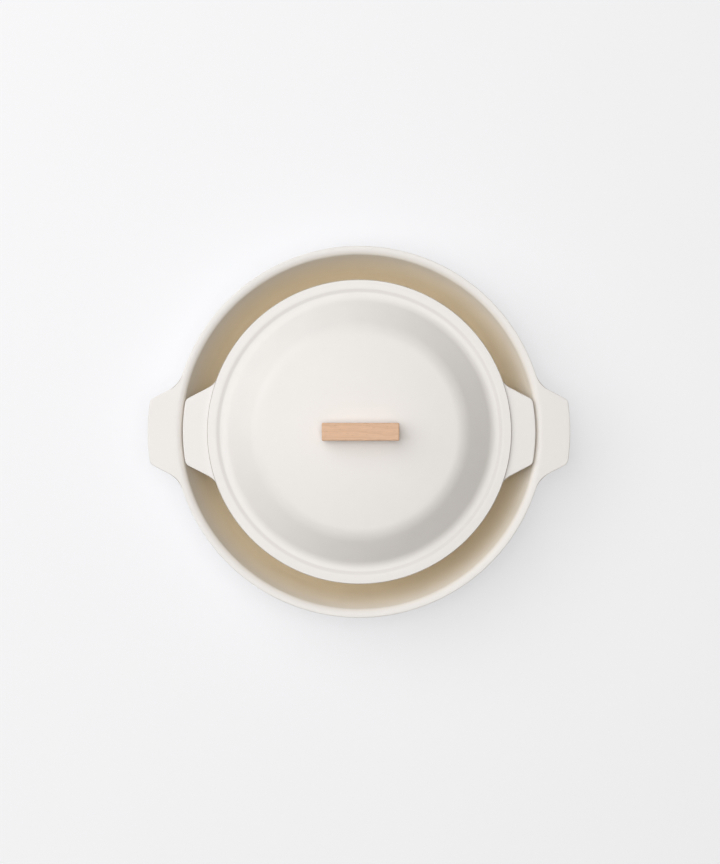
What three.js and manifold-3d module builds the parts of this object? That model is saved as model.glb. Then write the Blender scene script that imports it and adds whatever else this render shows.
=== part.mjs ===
// Nested camping cook pot: a wide pot, a smaller pot that stands in it, and the smaller pot's lid.
// The pots and the lid are pressed from sheet. A wooden bar is screwed to the lid as its knob.
// Millimetres, +Z up. The origin is the centre of the wide pot's base, and the tabs point along X.
import * as THREE from "three";
import { mergeVertices } from "three/addons/utils/BufferGeometryUtils.js";
import Module from "manifold-3d";

const wasm = await Module();
wasm.setup();

// Both pots are pressed the same way. A bend radius is the one on the inside of the bend.
const POT_SHEET = 3;
const WALL_DRAFT = 22; // degrees that the wall leans outwards
const FLOOR_BEND = 34;
const MOUTH_BEND = 0.5; // where the wall turns into the lip
const LIP_SLOPE = 25; // degrees
const LIP_STRAIGHT = 0.1; // left of the lip between its bends
const LIP_BEND = 4.8;
const RIM_FLAT = 1.5; // flat left outside the lip

// The wide pot: its mouth is where the wall would meet the lip
const OUTER_MOUTH_RADIUS = 130.3;
const OUTER_HEIGHT = 52;

// The smaller pot is as wide as its tabs allow inside the wide pot's mouth
const NEST_CLEARANCE = 1;
const INNER_RIM_STEP = 2; // its rim stands this much higher than the wide pot's

// Tabs, trimmed from the flange of each pot
const TAB_REACH = 18.6;
const TAB_END_WIDTH = 45.2;
const TAB_FLARE = 27.5; // degrees between a tab's side and its middle line
const TAB_CORNER = 5;
const TAB_ROOT = 20;

// The lid, from its edge inwards
const LID_SHEET = 2;
const LID_OVERHANG = 0.7;
const STEP_INSET = 2.7; // from the smaller pot's mouth in to the foot of the step
const STEP_REACH = 3.3; // from the foot of the step out to the band
const STEP_RISE = 0.7;
const STEP_BEND = 8;
const FOOT_REACH = 4.8; // from the foot of the step in to the shoulder's foot
const FOOT_BEND = 8;
const SHOULDER_SLOPE = 40; // degrees
const SHOULDER_DROP = 17.7;
const SHOULDER_BEND = 16;
const CROWN_SLOPE = 5; // degrees, at the edge of the slightly domed middle

// The knob and what holds it
const BAR_LENGTH = 55.5;
const BAR_WIDTH = 12.8;
const BAR_HEIGHT = 12;
const BAR_CORNER = 0.9;
const BASE_INSET = 2; // from the bar's outline to the base plate's
const BASE_THICKNESS = 2;
const SCREW_INSET = 9.75; // from the bar's end to the middle of a screw
const SCREW_RADIUS = 2;
const THREAD_ENGAGEMENT = 7;
const HEAD_RADIUS = 4;
const HEAD_HEIGHT = 2.6;
const HEAD_EDGE = 0.9; // upright edge of the head, below its dome
const RECESS_SPAN = 4.4;
const RECESS_WIDTH = 1;
const RECESS_DEPTH = 1.4;
const WASHER_RADIUS = 5;
const WASHER_THICKNESS = 1;
const SEAL_RADIUS = 4.6;
const SEAL_THICKNESS = 1.2;
const INSERT_WALL = 1;
const INSERT_LENGTH = 8;

// Clearances
const SEAT_GAP = 0.3; // between a piece and what it rests on
const HOLE_CLEARANCE = 0.3; // round a screw
const PRESS_CLEARANCE = 0.15; // round an insert
const TIP_CLEARANCE = 1; // past the end of a screw
const TRIM_ALLOWANCE = 3; // sheet that the trimming cuts away past the tabs

// Fineness of round stretches
const SHELL_SIDES = 64;
const SMALL_SIDES = 20;
const FACET_HEIGHT = 0.2; // most that a chord leaves its arc

const degrees = THREE.MathUtils.degToRad;
const point = (x, y) => new THREE.Vector2(x, y);
const leftOf = (direction) => point(-direction.y, direction.x);

// Points along an arc, close enough together for its radius
function arcPoints(centre, radius, from, to) {
  const step = 2 * Math.acos(1 - Math.min(FACET_HEIGHT / radius, 0.3));
  const count = Math.max(1, Math.ceil(Math.abs(to - from) / step));
  const points = [];
  for (let i = 0; i <= count; i += 1) {
    const angle = from + ((to - from) * i) / count;
    points.push(point(Math.cos(angle), Math.sin(angle)).multiplyScalar(radius).add(centre));
  }
  return points;
}

// One corner of a sheet's face: its place in the section and the inside radius of its bend
const corner = (r, z, bend = 0) => ({ at: point(r, z), bend });

// Points of one face of a bent sheet. The face lies at a depth below the upper one.
function bentFace(corners, sheet, depth) {
  const directions = [];
  for (let i = 1; i < corners.length; i += 1) {
    directions.push(corners[i].at.clone().sub(corners[i - 1].at).normalize());
  }
  const last = corners.length - 1;
  const points = [corners[0].at.clone().addScaledVector(leftOf(directions[0]), -depth)];
  for (let i = 1; i < last; i += 1) {
    const before = directions[i - 1];
    const after = directions[i];
    const turn = Math.atan2(before.cross(after), before.dot(after));
    const way = Math.sign(turn);
    const mitre = leftOf(before).add(leftOf(after)).divideScalar(1 + before.dot(after));
    const tip = corners[i].at.clone().addScaledVector(mitre, -depth);
    const radius = corners[i].bend + (way > 0 ? depth : sheet - depth);
    const tangent = radius * Math.tan(Math.abs(turn) / 2);
    const bendStart = tip.clone().addScaledVector(before, -tangent);
    const centre = bendStart.addScaledVector(leftOf(before), way * radius);
    const start = leftOf(before).multiplyScalar(-way).angle();
    points.push(...arcPoints(centre, radius, start, start + turn));
  }
  points.push(corners[last].at.clone().addScaledVector(leftOf(directions[last - 1]), -depth));
  return points;
}

// A turned solid, from a profile that starts and ends on the axis or closes on itself
function turned(profile, sides) {
  const geometry = new THREE.LatheGeometry(profile, sides);
  geometry.rotateX(Math.PI / 2);
  return geometry;
}

// A pressed shell, turned from the corners of its upper face
function pressedShell(corners, sheet) {
  const upper = bentFace(corners, sheet, 0);
  const lower = bentFace(corners, sheet, sheet);
  return turned([...lower, ...upper.reverse()], SHELL_SIDES);
}

function solidOf(geometry) {
  const bare = geometry.clone();
  bare.deleteAttribute("normal");
  bare.deleteAttribute("uv");
  const merged = mergeVertices(bare);
  const vertProperties = new Float32Array(merged.attributes.position.array);
  const triVerts = new Uint32Array(merged.index.array);
  return new wasm.Manifold(new wasm.Mesh({ numProp: 3, vertProperties, triVerts }));
}

function geometryOf(solid) {
  const mesh = solid.getMesh();
  const geometry = new THREE.BufferGeometry();
  geometry.setAttribute("position", new THREE.BufferAttribute(mesh.vertProperties, 3));
  geometry.setIndex(new THREE.BufferAttribute(mesh.triVerts, 1));
  geometry.computeVertexNormals();
  return geometry;
}

// Centre of a round beside a tab's slanted side: the point on a line where it comes within reach of the axis
function roundCentre(start, along, reach) {
  const half = start.dot(along);
  const travel = -half - Math.sqrt(half * half - start.lengthSq() + reach * reach);
  return start.clone().addScaledVector(along, travel);
}

// Outline that a pot's flange is trimmed to: a circle with a flared tab at each end of the X axis
function flangeOutline(rimRadius) {
  const endRadius = rimRadius + TAB_REACH;
  const flare = degrees(TAB_FLARE);
  const along = point(-Math.cos(flare), Math.sin(flare));
  const outward = point(Math.sin(flare), Math.cos(flare));
  const tip = point(endRadius, TAB_END_WIDTH / 2);
  const insideLine = tip.clone().addScaledVector(outward, -TAB_CORNER);
  const outsideLine = tip.clone().addScaledVector(outward, TAB_ROOT);
  const endRound = roundCentre(insideLine, along, endRadius - TAB_CORNER);
  const rootRound = roundCentre(outsideLine, along, rimRadius + TAB_ROOT);
  const axis = point(0, 0);
  const quarter = [
    ...arcPoints(axis, endRadius, 0, endRound.angle()).slice(0, -1),
    ...arcPoints(endRound, TAB_CORNER, endRound.angle(), outward.angle()),
    ...arcPoints(rootRound, TAB_ROOT, outward.angle() + Math.PI, rootRound.angle() + Math.PI),
    ...arcPoints(axis, rimRadius, rootRound.angle(), Math.PI / 2).slice(1),
  ];
  const mirrored = quarter.slice(1, -1).reverse().map((p) => point(-p.x, p.y));
  const half = [...quarter, ...mirrored];
  return new THREE.Shape([...half, ...half.map((p) => point(-p.x, -p.y))]);
}

// The lip between wall and rim is as long as its two bends need
const mouthTangent = (MOUTH_BEND + POT_SHEET) * Math.tan(degrees(90 - WALL_DRAFT - LIP_SLOPE) / 2);
const lipTangent = (LIP_BEND + POT_SHEET) * Math.tan(degrees(LIP_SLOPE) / 2);
const lipLength = mouthTangent + LIP_STRAIGHT + lipTangent;
const lipReach = lipLength * Math.cos(degrees(LIP_SLOPE));
const lipRise = lipLength * Math.sin(degrees(LIP_SLOPE));
const rimReach = lipReach + lipTangent + RIM_FLAT; // from the mouth to the edge of the rim

// A pot: drawn with a wide flange, which is then trimmed to the rim and the tabs
function pressedPot(mouthRadius, height) {
  const rimRadius = mouthRadius + rimReach;
  const mouthHeight = height - lipRise;
  const floorRadius = mouthRadius - (mouthHeight - POT_SHEET) * Math.tan(degrees(WALL_DRAFT));
  const blankRadius = rimRadius + TAB_REACH + TRIM_ALLOWANCE;
  const drawn = pressedShell(
    [
      corner(0, POT_SHEET),
      corner(floorRadius, POT_SHEET, FLOOR_BEND),
      corner(mouthRadius, mouthHeight, MOUTH_BEND),
      corner(mouthRadius + lipReach, height, LIP_BEND),
      corner(blankRadius, height),
    ],
    POT_SHEET,
  );
  const die = new THREE.ExtrudeGeometry(flangeOutline(rimRadius), {
    depth: height + 2 * TRIM_ALLOWANCE,
    bevelEnabled: false,
  });
  die.translate(0, 0, -TRIM_ALLOWANCE);
  return geometryOf(solidOf(drawn).intersect(solidOf(die)));
}

// Places that the pieces share
const innerTabEnd = OUTER_MOUTH_RADIUS - NEST_CLEARANCE;
const innerMouthRadius = innerTabEnd - TAB_REACH - rimReach;
const innerBase = POT_SHEET + SEAT_GAP;
const innerHeight = OUTER_HEIGHT + INNER_RIM_STEP - innerBase;
const lidBand = innerBase + innerHeight + SEAT_GAP + LID_SHEET; // top of the lid's band
const stepRadius = innerMouthRadius - STEP_INSET;
const stepFoot = lidBand - STEP_RISE;
const footRadius = stepRadius - FOOT_REACH;
const shoulderRadius = footRadius - SHOULDER_DROP / Math.tan(degrees(SHOULDER_SLOPE));
const shoulderHeight = stepFoot + SHOULDER_DROP;
const shoulderTangent = (SHOULDER_BEND + LID_SHEET) * Math.tan(degrees(SHOULDER_SLOPE - CROWN_SLOPE) / 2);
const crownReach = (shoulderRadius - shoulderTangent) / 2;
const crownBend = crownReach / Math.tan(degrees(CROWN_SLOPE) / 2) - LID_SHEET;
const lidTop = shoulderHeight + (shoulderRadius - crownReach) * Math.tan(degrees(CROWN_SLOPE));
const baseBottom = lidTop + SEAT_GAP;
const barBottom = baseBottom + BASE_THICKNESS + SEAT_GAP;
const screwReach = BAR_LENGTH / 2 - SCREW_INSET;
const sealReach = screwReach + SEAL_RADIUS;
const sealFall = crownBend - Math.sqrt(crownBend * crownBend - sealReach * sealReach) + FACET_HEIGHT;
const sealTop = lidTop - LID_SHEET - sealFall - SEAT_GAP; // clear of the crown where it falls most
const washerTop = sealTop - SEAL_THICKNESS - SEAT_GAP;
const headTop = washerTop - WASHER_THICKNESS - SEAT_GAP;
const screwTip = barBottom + THREAD_ENGAGEMENT;
const screwHole = SCREW_RADIUS + HOLE_CLEARANCE;
const insertRadius = screwHole + INSERT_WALL;
const insertBottom = barBottom + SEAT_GAP;
const insertTop = insertBottom + INSERT_LENGTH;
const pocketTop = Math.max(insertTop, screwTip) + TIP_CLEARANCE;
const screwPlaces = { left: -screwReach, right: screwReach };

// An upright round bar for cutting holes, between two heights
function drill(x, radius, bottom, top) {
  const geometry = new THREE.CylinderGeometry(radius, radius, top - bottom, SMALL_SIDES);
  geometry.rotateX(Math.PI / 2);
  geometry.translate(x, 0, (top + bottom) / 2);
  return solidOf(geometry);
}

// The same hole at each screw's place
function drilled(solid, radius, bottom, top) {
  return Object.values(screwPlaces).reduce(
    (rest, x) => rest.subtract(drill(x, radius, bottom, top)),
    solid,
  );
}

function lidShell() {
  const shell = pressedShell(
    [
      corner(0, lidTop),
      corner(crownReach, lidTop, crownBend),
      corner(shoulderRadius, shoulderHeight, SHOULDER_BEND),
      corner(footRadius, stepFoot, FOOT_BEND),
      corner(stepRadius, stepFoot, STEP_BEND),
      corner(stepRadius + STEP_REACH, lidBand, STEP_BEND),
      corner(innerMouthRadius + rimReach + LID_OVERHANG, lidBand),
    ],
    LID_SHEET,
  );
  return geometryOf(drilled(solidOf(shell), screwHole, sealTop, baseBottom));
}

// Rectangle with round corners, centred on the axis
function roundedRectangle(length, width, radius) {
  const shape = new THREE.Shape();
  const x = length / 2 - radius;
  const y = width / 2 - radius;
  shape.absarc(x, y, radius, 0, Math.PI / 2);
  shape.absarc(-x, y, radius, Math.PI / 2, Math.PI);
  shape.absarc(-x, -y, radius, Math.PI, 1.5 * Math.PI);
  shape.absarc(x, -y, radius, 1.5 * Math.PI, 2 * Math.PI);
  return shape;
}

// The bar's edges are all rounded alike: the bevel makes its top and bottom edges
function knobBar() {
  const coreLength = BAR_LENGTH - 2 * BAR_CORNER;
  const coreWidth = BAR_WIDTH - 2 * BAR_CORNER;
  const outline = roundedRectangle(coreLength, coreWidth, BAR_CORNER / 2);
  const block = new THREE.ExtrudeGeometry(outline, {
    depth: BAR_HEIGHT - 2 * BAR_CORNER,
    bevelSize: BAR_CORNER,
    bevelThickness: BAR_CORNER,
    bevelSegments: 2,
    curveSegments: 2,
  });
  block.translate(0, 0, barBottom + BAR_CORNER);
  const pocketRadius = insertRadius + PRESS_CLEARANCE;
  return geometryOf(drilled(solidOf(block), pocketRadius, barBottom - SEAT_GAP, pocketTop));
}

function knobBase() {
  const width = BAR_WIDTH - 2 * BASE_INSET;
  const outline = roundedRectangle(BAR_LENGTH - 2 * BASE_INSET, width, width / 2);
  const plate = new THREE.ExtrudeGeometry(outline, {
    depth: BASE_THICKNESS,
    bevelEnabled: false,
    curveSegments: 4,
  });
  plate.translate(0, 0, baseBottom);
  return geometryOf(drilled(solidOf(plate), screwHole, lidTop, barBottom));
}

// A ring that a screw passes through, such as a washer, centred on the axis
function ring(radius, bottom, top) {
  const section = [
    point(screwHole, bottom),
    point(radius, bottom),
    point(radius, top),
    point(screwHole, top),
    point(screwHole, bottom),
  ];
  return turned(section, SMALL_SIDES);
}

// A pan-head screw with its head down and a cross recess in the head
function knobScrew() {
  const headBottom = headTop - HEAD_HEIGHT;
  const domeRise = HEAD_HEIGHT - HEAD_EDGE;
  const domeRadius = (HEAD_RADIUS * HEAD_RADIUS + domeRise * domeRise) / (2 * domeRise);
  const domeCentre = point(0, headBottom + domeRadius);
  const down = -Math.PI / 2;
  const dome = arcPoints(domeCentre, domeRadius, down, down + Math.asin(HEAD_RADIUS / domeRadius));
  dome[0].x = 0;
  const body = turned(
    [
      ...dome,
      point(HEAD_RADIUS, headTop),
      point(SCREW_RADIUS, headTop),
      point(SCREW_RADIUS, screwTip - SCREW_RADIUS / 2),
      point(SCREW_RADIUS / 2, screwTip),
      point(0, screwTip),
    ],
    SMALL_SIDES,
  );
  const recess = [
    new THREE.BoxGeometry(RECESS_SPAN, RECESS_WIDTH, 2 * RECESS_DEPTH),
    new THREE.BoxGeometry(RECESS_WIDTH, RECESS_SPAN, 2 * RECESS_DEPTH),
  ];
  const cut = recess.reduce(
    (rest, box) => rest.subtract(solidOf(box.translate(0, 0, headBottom))),
    solidOf(body),
  );
  return geometryOf(cut);
}

const finishes = {
  coating: { color: 0xe9e5e1, roughness: 0.55, metalness: 0 },
  wood: { color: 0xdab69b, roughness: 0.6, metalness: 0 },
  steel: { color: 0xb9b9b6, roughness: 0.35, metalness: 1 },
  brass: { color: 0xc2a15a, roughness: 0.35, metalness: 1 },
  silicone: { color: 0xd8d5d0, roughness: 0.8, metalness: 0 },
};

const group = new THREE.Group();

function place(name, geometry, finish, x = 0, z = 0) {
  const mesh = new THREE.Mesh(geometry, new THREE.MeshStandardMaterial(finishes[finish]));
  mesh.name = name;
  mesh.position.set(x, 0, z);
  group.add(mesh);
}

place("outer_pot", pressedPot(OUTER_MOUTH_RADIUS, OUTER_HEIGHT), "coating");
place("inner_pot", pressedPot(innerMouthRadius, innerHeight), "coating", 0, innerBase);
place("lid_shell", lidShell(), "coating");
place("knob_base", knobBase(), "steel");
place("knob_bar", knobBar(), "wood");

for (const [side, x] of Object.entries(screwPlaces)) {
  place(`knob_seal_${side}`, ring(SEAL_RADIUS, sealTop - SEAL_THICKNESS, sealTop), "silicone", x);
  place(`knob_washer_${side}`, ring(WASHER_RADIUS, washerTop - WASHER_THICKNESS, washerTop), "steel", x);
  place(`knob_insert_${side}`, ring(insertRadius, insertBottom, insertTop), "brass", x);
  place(`knob_screw_${side}`, knobScrew(), "steel", x);
}

export default group;
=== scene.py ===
# %% [markdown]
# Nested camping pots
#
# The object is a wide, shallow pot with a smaller pot standing inside it. The smaller pot has a
# pressed lid, and a wooden bar on the lid is its knob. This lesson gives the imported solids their
# finished surfaces. Loading the solids first means that every size and place can be read from
# them, so nothing has to be fitted by eye.

# %% Load the solids
import math

import bmesh
import bpy
from mathutils import Matrix, Vector


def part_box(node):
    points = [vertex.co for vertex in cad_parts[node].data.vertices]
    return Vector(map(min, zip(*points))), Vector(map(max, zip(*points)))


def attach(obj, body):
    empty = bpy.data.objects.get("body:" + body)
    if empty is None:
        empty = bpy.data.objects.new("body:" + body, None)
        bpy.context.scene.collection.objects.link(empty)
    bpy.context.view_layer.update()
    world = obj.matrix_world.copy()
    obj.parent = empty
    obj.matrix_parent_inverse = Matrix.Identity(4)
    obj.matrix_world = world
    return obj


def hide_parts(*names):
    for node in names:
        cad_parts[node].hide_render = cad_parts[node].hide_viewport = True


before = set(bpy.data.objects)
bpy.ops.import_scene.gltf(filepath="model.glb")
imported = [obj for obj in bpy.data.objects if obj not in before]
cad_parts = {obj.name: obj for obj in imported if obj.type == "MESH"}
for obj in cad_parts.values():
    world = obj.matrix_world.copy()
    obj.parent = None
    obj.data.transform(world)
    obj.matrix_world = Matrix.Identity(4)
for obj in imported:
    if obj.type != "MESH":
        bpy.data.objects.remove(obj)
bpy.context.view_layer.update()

# %% [markdown]
# Sizes
#
# The outer limits come from the solids. The rest are the sizes that a press tool would have: the
# sheet's thickness, the radius on the inside of each bend, and the shape of the tabs. They are in
# metres, because Blender works in metres.

# %% Sizes that the pots share
MM = 1000  # millimetres in a metre, for what is printed
POT_SHEET = 0.003
WALL_DRAFT = math.radians(22)
FLOOR_BEND = 0.034
MOUTH_BEND = 0.0005
LIP_SLOPE = math.radians(25)
LIP_STRAIGHT = 0.0001
LIP_BEND = 0.0048
RIM_FLAT = 0.0015
TAB_END_WIDTH = 0.0452
TAB_FLARE = math.radians(27.5)
TAB_CORNER = 0.005
TAB_ROOT = 0.020
POT_EDGE_ROUND = 0.0006

wide_low, wide_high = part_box("outer_pot")
small_low, small_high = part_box("inner_pot")
lid_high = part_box("lid_shell")[1]
mouth_tangent = (MOUTH_BEND + POT_SHEET) * math.tan((math.pi / 2 - WALL_DRAFT - LIP_SLOPE) / 2)
lip_tangent = (LIP_BEND + POT_SHEET) * math.tan(LIP_SLOPE / 2)
lip_length = mouth_tangent + LIP_STRAIGHT + lip_tangent
lip_reach = lip_length * math.cos(LIP_SLOPE)
lip_rise = lip_length * math.sin(LIP_SLOPE)
rim_reach = lip_reach + lip_tangent + RIM_FLAT
print(f"Wide pot {2 * MM * wide_high.y:.0f} mm across its rim, {MM * wide_high.z:.0f} mm high")
print(f"Smaller pot {2 * MM * small_high.y:.0f} mm across its rim")

# %% [markdown]
# Node trees
#
# Finishes and repeated shapes are both made with nodes here. One helper adds a node, sets it up and
# feeds its inputs with numbers or with other nodes' sockets. That keeps each tree readable from top
# to bottom, in the order in which the values flow.


# %% Helpers for node trees
def add_node(tree, kind, inputs=None, **settings):
    node = tree.nodes.new(kind)
    for name, value in settings.items():
        setattr(node, name, value)
    for key, value in (inputs or {}).items():
        if isinstance(value, bpy.types.NodeSocket):
            tree.links.new(value, node.inputs[key])
        else:
            node.inputs[key].default_value = value
    return node


def maths(tree, operation, *values):
    return add_node(tree, "ShaderNodeMath", dict(enumerate(values)), operation=operation).outputs[0]


def vector_maths(tree, operation, *values):
    node = add_node(tree, "ShaderNodeVectorMath", dict(enumerate(values)), operation=operation)
    return node.outputs["Vector"]


def scaled(tree, vector, amount):
    inputs = {"Vector": vector, "Scale": amount}
    return add_node(tree, "ShaderNodeVectorMath", inputs, operation="SCALE").outputs["Vector"]


def vector_from(tree, **parts):
    return add_node(tree, "ShaderNodeCombineXYZ", parts).outputs["Vector"]


def remapped(tree, value, from_low, from_high, to_low, to_high):
    limits = {"From Min": from_low, "From Max": from_high, "To Min": to_low, "To Max": to_high}
    return add_node(tree, "ShaderNodeMapRange", {"Value": value, **limits}).outputs["Result"]


def noise(tree, place, scale, detail):
    inputs = {"Vector": place, "Scale": scale, "Detail": detail}
    return add_node(tree, "ShaderNodeTexNoise", inputs).outputs["Fac"]


def mixed_colour(tree, share, first, second, blend="MIX"):
    # A Mix node has a set of sockets for each kind of data. Those of colours are 6, 7 and output 2.
    inputs = {0: share, 6: first, 7: second}
    return add_node(tree, "ShaderNodeMix", inputs, data_type="RGBA", blend_type=blend).outputs[2]


def tinted(tree, colour, shade):
    even = add_node(tree, "ShaderNodeCombineColor", {"Red": shade, "Green": shade, "Blue": shade})
    return mixed_colour(tree, 1.0, colour, even.outputs["Color"], "MULTIPLY")


print("Node helpers ready")

# %% [markdown]
# Shared surface effects
#
# No real surface is one even colour. A baked coating has faint clouds where it is a little thicker
# and a skin like fine orange peel, metal has brushed lines, and edges that are handled wear first.
# These could be painted as images, but noise in three dimensions needs no seams and looks the same
# from every side. Each effect is a node group, so that every finish can use it at its own scale.

# %% Effect groups
NOISE_LOW = 0.3  # noise seldom leaves these limits
NOISE_HIGH = 0.7
CLOUD_DETAIL = 4.0
SKIN_DETAIL = 2.0
LINE_DETAIL = 3.0
PATCH_DETAIL = 3.0
PATCH_LOW = 0.35
PATCH_HIGH = 0.65
LEAST_WEAR = 0.3  # what is left of the wear between two patches
RIDGE_START = 0.51  # in pointiness, which is 0.5 on a flat face
RIDGE_END = 0.58


def spread_noise(tree, value, low, high):
    return remapped(tree, value, NOISE_LOW, NOISE_HIGH, low, high)


def effect_group(name, inputs, outputs):
    tree = bpy.data.node_groups.new(name, "ShaderNodeTree")
    tree.interface.new_socket("Place", in_out="INPUT", socket_type="NodeSocketVector")
    for label in inputs:
        tree.interface.new_socket(label, in_out="INPUT", socket_type="NodeSocketFloat")
    for label in outputs:
        tree.interface.new_socket(label, in_out="OUTPUT", socket_type="NodeSocketFloat")
    return tree, add_node(tree, "NodeGroupInput").outputs


def clouded_skin():
    inputs = ["Cloud Scale", "Skin Scale", "Contrast"]
    tree, given = effect_group("clouded skin", inputs, ["Shade", "Cloud", "Skin"])
    cloud = noise(tree, given["Place"], given["Cloud Scale"], CLOUD_DETAIL)
    skin = noise(tree, given["Place"], given["Skin Scale"], SKIN_DETAIL)
    lean = spread_noise(tree, cloud, -1.0, 1.0)
    shade = maths(tree, "MULTIPLY_ADD", lean, given["Contrast"], 1.0)
    add_node(tree, "NodeGroupOutput", {"Shade": shade, "Cloud": cloud, "Skin": skin})
    return tree


def brushed_lines():
    tree, given = effect_group("brushed lines", ["Line Scale", "Stretch"], ["Lines"])
    along = maths(tree, "DIVIDE", given["Line Scale"], given["Stretch"])
    spread = vector_from(tree, X=along, Y=given["Line Scale"], Z=given["Line Scale"])
    stretched = vector_maths(tree, "MULTIPLY", given["Place"], spread)
    lines = noise(tree, stretched, 1.0, LINE_DETAIL)
    add_node(tree, "NodeGroupOutput", {"Lines": lines})
    return tree


def edge_wear():
    tree, given = effect_group("edge wear", ["Patch Scale", "Amount"], ["Worn"])
    sharpness = add_node(tree, "ShaderNodeNewGeometry").outputs["Pointiness"]
    ridge = remapped(tree, sharpness, RIDGE_START, RIDGE_END, 0.0, 1.0)
    blots = noise(tree, given["Place"], given["Patch Scale"], PATCH_DETAIL)
    patches = remapped(tree, blots, PATCH_LOW, PATCH_HIGH, LEAST_WEAR, 1.0)
    worn = maths(tree, "MULTIPLY", maths(tree, "MULTIPLY", ridge, patches), given["Amount"])
    add_node(tree, "NodeGroupOutput", {"Worn": worn})
    return tree


CLOUDED_SKIN = clouded_skin()
BRUSHED_LINES = brushed_lines()
EDGE_WEAR = edge_wear()
print("Effect groups:", ", ".join(group.name for group in bpy.data.node_groups))


# %% Helpers for finishes
def new_finish(name):
    material = bpy.data.materials.new(name)
    material.use_nodes = True
    tree = material.node_tree
    place = add_node(tree, "ShaderNodeTexCoord").outputs["Object"]
    return material, tree, tree.nodes["Principled BSDF"], place


def effect(tree, group, place, values):
    return add_node(tree, "ShaderNodeGroup", {"Place": place, **values}, node_tree=group).outputs


def attribute(tree, name):
    return add_node(tree, "ShaderNodeAttribute", attribute_name=name).outputs["Fac"]


def feed(tree, shader, **sockets):
    for label, socket in sockets.items():
        tree.links.new(socket, shader.inputs[label.replace("_", " ")])


def raised(tree, height, strength, distance):
    inputs = {"Strength": strength, "Distance": distance, "Height": height}
    return add_node(tree, "ShaderNodeBump", inputs).outputs["Normal"]


print("Finish helpers ready")

# %% [markdown]
# The coating
#
# Pots and lid wear a satin ceramic coat: warm white outside and on the rim, beige inside. On the
# real pots the two are sprayed one after the other and fade into each other on the upper wall. Two
# materials would meet in a hard line there, so this is one material, and a value stored on the mesh,
# called lining, says how much of the beige there is at each point. Its slow fade up the wall is
# partly painted light: a fuller beige low in the pots for the warm light that bounces there. A
# second value stored on the mesh marks painted shade, a dark grey-brown laid on the coat where shade
# falls: on both corners of the lid's trimmed edge, on those in the roots of the tabs, and along the
# step of the lid.

# %% Coating
WHITE_COAT = (0.80, 0.784, 0.778, 1)
BEIGE_LINING = (0.985, 0.85, 0.63, 1)
# Painted shade: a dark grey-brown laid on the coat where shade falls at edges, roots and the step
PAINTED_SHADE_COLOUR = (0.29, 0.245, 0.205, 1)
PAINTED_SHADE_SHARE = 0.85
COAT_SKIN = {"Cloud Scale": 45.0, "Skin Scale": 900.0, "Contrast": 0.012}
COAT_ROUGHNESS = (0.38, 0.46)


def make_coating():
    material, tree, shader, place = new_finish("satin coating")
    skin = effect(tree, CLOUDED_SKIN, place, COAT_SKIN)
    coat = mixed_colour(tree, attribute(tree, "lining"), WHITE_COAT, BEIGE_LINING)
    # Painted shade darkens the coat wherever the mesh marks it
    uneven = maths(tree, "MULTIPLY", attribute(tree, "uneven"), PAINTED_SHADE_SHARE)
    colour = tinted(tree, mixed_colour(tree, uneven, coat, PAINTED_SHADE_COLOUR), skin["Shade"])
    roughness = spread_noise(tree, skin["Cloud"], *COAT_ROUGHNESS)
    normal = raised(tree, skin["Skin"], strength=0.15, distance=0.0002)
    feed(tree, shader, Base_Color=colour, Roughness=roughness, Normal=normal)
    return material


COATING = make_coating()
print("Finish:", COATING.name)

# %% [markdown]
# Sections of pressed sheet
#
# All three shells are pressed from flat sheet, so a section through one is a line with bends in it,
# one sheet thick. The line could be drawn by hand, but a bend in real sheet has one centre for both
# of its faces, and a few corners with bend radii give that exactly. Each face point keeps its
# normal, which leads to the other face, and its stage: the number of the corner that it is near. A
# stage says where on the section a finish changes, whatever the sizes are.

# %% Bent faces
FACET = 0.00002  # most that a chord leaves its arc
WIDEST_STEP = math.radians(7)
BEND_STAGES = 0.6  # what a bend takes of a stage: the straight stretches beside it take the rest


def left_of(direction):
    return Vector((-direction.y, direction.x))


def arc_shares(turn, radius):
    step = min(WIDEST_STEP, 2 * math.acos(1 - FACET / radius))
    count = max(2, math.ceil(abs(turn) / step))
    return [index / count for index in range(count + 1)]


def bent_face(corners, sheet):
    places = [Vector(corner[:2]) for corner in corners]
    ways = [(end - start).normalized() for start, end in zip(places, places[1:])]
    face = [(places[0], left_of(ways[0]), 0.0)]
    for number in range(1, len(corners) - 1):
        before, after = ways[number - 1], ways[number]
        turn = math.atan2(before.cross(after), before.dot(after))
        side = math.copysign(1, turn)
        radius = corners[number][2] + (0 if side > 0 else sheet)
        start = places[number] - before * radius * math.tan(abs(turn) / 2)
        centre = start + left_of(before) * side * radius
        for share in arc_shares(turn, radius):
            normal = Matrix.Rotation(turn * share, 2) @ left_of(before)
            stage = number + BEND_STAGES * (share - 0.5)
            face.append((centre - normal * side * radius, normal, stage))
    face.append((places[-1], left_of(ways[-1]), float(len(corners) - 1)))
    return face


print("A right angle of the floor's radius takes", len(arc_shares(math.pi / 2, FLOOR_BEND)), "points")

# %% [markdown]
# Rows of a shell
#
# Smooth shading blends the normals of neighbouring faces, so a long flat face beside a bend would
# look bent too. Extra rows close to each bend keep the blend inside it. Where the sheet ends, the
# coat rounds the two corners of its trimmed edge, and painted shade is darkest in the middle of
# each. A row holds a radius and a height, how far it has gone across the flange towards the trimmed
# outline, how far it stays inside that outline, and the two values for the coating: the lining and
# the painted shade.

# %% Rows from a section
SUPPORT = 0.0006  # how close to a bend its extra row lies
SHORTEST_STRETCH = 3 * SUPPORT  # a shorter one needs no extra rows
ROW_SPACING = 0.007
STRAIGHT = 0.9999999  # least agreement of the normals at both ends of a straight stretch
EDGE_STEPS = 5
FLANGE_SHARES = (0.04, 0.35, 0.65, 0.96)


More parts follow.
